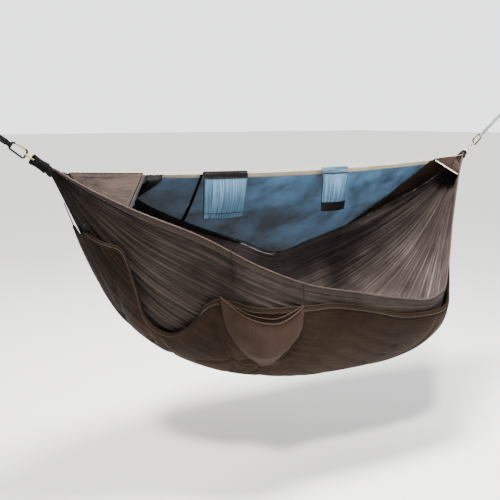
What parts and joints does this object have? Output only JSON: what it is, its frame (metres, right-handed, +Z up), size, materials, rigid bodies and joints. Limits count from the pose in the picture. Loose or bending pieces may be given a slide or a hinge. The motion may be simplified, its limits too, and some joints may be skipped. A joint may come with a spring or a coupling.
{
  "type": "hammock tent",
  "caption": "Gathered-end camping hammock with netted far wall, cloth end caps, ridgeline organizers, padded underquilt and webbing suspension",
  "frame": {"origin": "middle of the foot anchor's sewn eye, on the axis of the post that it goes round", "axes": "+X from the foot anchor to the head anchor, +Y away from the side with the door, +Z up"},
  "size_m": [3.5755, 1.0534, 1.4098],
  "materials": {
    "shell_nylon": "dark brown ripstop nylon, soft sheen",
    "cap_nylon": "tan brown nylon, thin and slightly see-through",
    "quilt_nylon": "dark olive brown nylon shell over loft",
    "netting": "fine blue grey insect netting",
    "pale_tape": "pale cream woven tape",
    "black_trim": "black woven trim",
    "cream_cord": "cream braided cord",
    "yellow_cord": "yellow green braided cord",
    "pale_rope": "pale rope with dark flecks",
    "black_webbing": "black woven webbing",
    "grey_webbing": "pale grey woven webbing",
    "black_anodised": "black anodised aluminium",
    "gold_anodised": "gold anodised aluminium",
    "rivet_steel": "bare steel",
    "zip_black": "black nylon zip",
    "lock_plastic": "black moulded plastic"
  },
  "bodies": {
    "anchors": {"foot_anchor_eye": "black_webbing", "head_anchor_eye": "grey_webbing"},
    "hammock": {"bundle_tie": "black_trim", "far_hem": "black_trim", "foot_carabiner_frame": "black_anodised", "foot_end_cap": "cap_nylon", "foot_gate_rivet": "rivet_steel", "foot_gather": "shell_nylon", "foot_loop": "yellow_cord", "foot_strap": "black_webbing", "foot_whipping": "yellow_cord", "hammock_body": "shell_nylon", "head_cap_edge": "pale_tape", "head_carabiner_frame": "black_anodised", "head_end_cap": "cap_nylon", "head_gate_rivet": "rivet_steel", "head_gather": "shell_nylon", "head_loop": "pale_rope", "head_strap": "grey_webbing", "head_whipping": "pale_rope", "near_hem": "black_trim", "net_binding_foot": "black_trim", "net_binding_head": "black_trim", "net_bundle": "black_trim", "net_ridge_tape": "pale_tape", "net_wall": "netting", "net_wall_foot": "netting", "pocket_cord_left": "black_trim", "pocket_cord_right": "black_trim", "pocket_lip": "black_trim", "pocket_lock_barrel": "lock_plastic", "quilt_foot_cord": "black_trim", "quilt_foot_tether_far": "black_trim", "quilt_foot_tether_near": "black_trim", "quilt_head_cord": "black_trim", "quilt_head_tether_far": "black_trim", "quilt_head_tether_near": "black_trim", "quilt_lock_barrel": "lock_plastic", "ridgeline": "cream_cord", "storage_pocket": "quilt_nylon", "underquilt": "quilt_nylon", "zip_tape": "zip_black"},
    "foot_gate": {"foot_gate": "gold_anodised"},
    "head_gate": {"head_gate": "gold_anodised"},
    "foot_sleeve": {"foot_sleeve": "black_trim"},
    "organizer_a": {"organizer_a_band": "black_trim"},
    "organizer_a_bag": {"organizer_a_bag": "netting", "organizer_a_base": "black_trim", "organizer_a_rim": "black_trim"},
    "organizer_b": {"organizer_b_band": "black_trim"},
    "organizer_b_bag": {"organizer_b_bag": "netting", "organizer_b_base": "black_trim", "organizer_b_rim": "black_trim"},
    "zip_slider": {"zip_slider": "zip_black"},
    "zip_pull": {"zip_pull": "zip_black"},
    "pocket_lock_plunger": {"pocket_lock_plunger": "lock_plastic"},
    "quilt_lock_plunger": {"quilt_lock_plunger": "lock_plastic"}
  },
  "joints": [
    {"name": "rocking", "type": "hinge", "parent": "anchors", "child": "hammock", "pos_m": [0.05803, 0, -0.03914], "axis": [1, 0, 0], "range_deg": [-25, 25]},
    {"name": "foot_gate_hinge", "type": "hinge", "parent": "hammock", "child": "foot_gate", "pos_m": [0.26634, 0, -0.16038], "axis": [0, 1, 0], "range_deg": [0, 22], "stiffness_Nm_per_rad": 0.25, "springref_deg": -14.32},
    {"name": "head_gate_hinge", "type": "hinge", "parent": "hammock", "child": "head_gate", "pos_m": [3.26269, 0, -0.16038], "axis": [0, -1, 0], "range_deg": [0, 22], "stiffness_Nm_per_rad": 0.25, "springref_deg": -14.32},
    {"name": "foot_sleeve_slide", "type": "slide", "parent": "hammock", "child": "foot_sleeve", "axis": [-0.829, 0, 0.5592], "range_m": [0, 0.025]},
    {"name": "organizer_a_slide", "type": "slide", "parent": "hammock", "child": "organizer_a", "axis": [0.9998, 0, -0.0195], "range_m": [-0.05, 0.05]},
    {"name": "organizer_a_swing", "type": "hinge", "parent": "organizer_a", "child": "organizer_a_bag", "pos_m": [1.32004, -0.00575, -0.34577], "axis": [0.9998, 0, -0.0195], "range_deg": [-15, 15]},
    {"name": "organizer_b_slide", "type": "slide", "parent": "hammock", "child": "organizer_b", "axis": [0.9999, 0, 0.0124], "range_m": [-0.08, 0.08]},
    {"name": "organizer_b_swing", "type": "hinge", "parent": "organizer_b", "child": "organizer_b_bag", "pos_m": [2.04786, -0.00575, -0.34834], "axis": [0.9999, 0, 0.0124], "range_deg": [-15, 15]},
    {"name": "zip_run", "type": "slide", "parent": "hammock", "child": "zip_slider", "axis": [0.6253, 0.6194, 0.4746], "range_m": [0, 0.17]},
    {"name": "zip_pull_swing", "type": "hinge", "parent": "zip_slider", "child": "zip_pull", "pos_m": [0.72557, -0.15894, -0.42787], "axis": [1, 0, 0], "range_deg": [-25, 25]},
    {"name": "pocket_lock_press", "type": "slide", "parent": "hammock", "child": "pocket_lock_plunger", "axis": [-0.9985, 0.0011, -0.0551], "range_m": [0, 0.004], "stiffness_N_per_m": 350, "springref_m": -0.003},
    {"name": "quilt_lock_press", "type": "slide", "parent": "hammock", "child": "quilt_lock_plunger", "axis": [0.7575, 0.5487, 0.3536], "range_m": [0, 0.004], "stiffness_N_per_m": 350, "springref_m": -0.003}
  ]
}
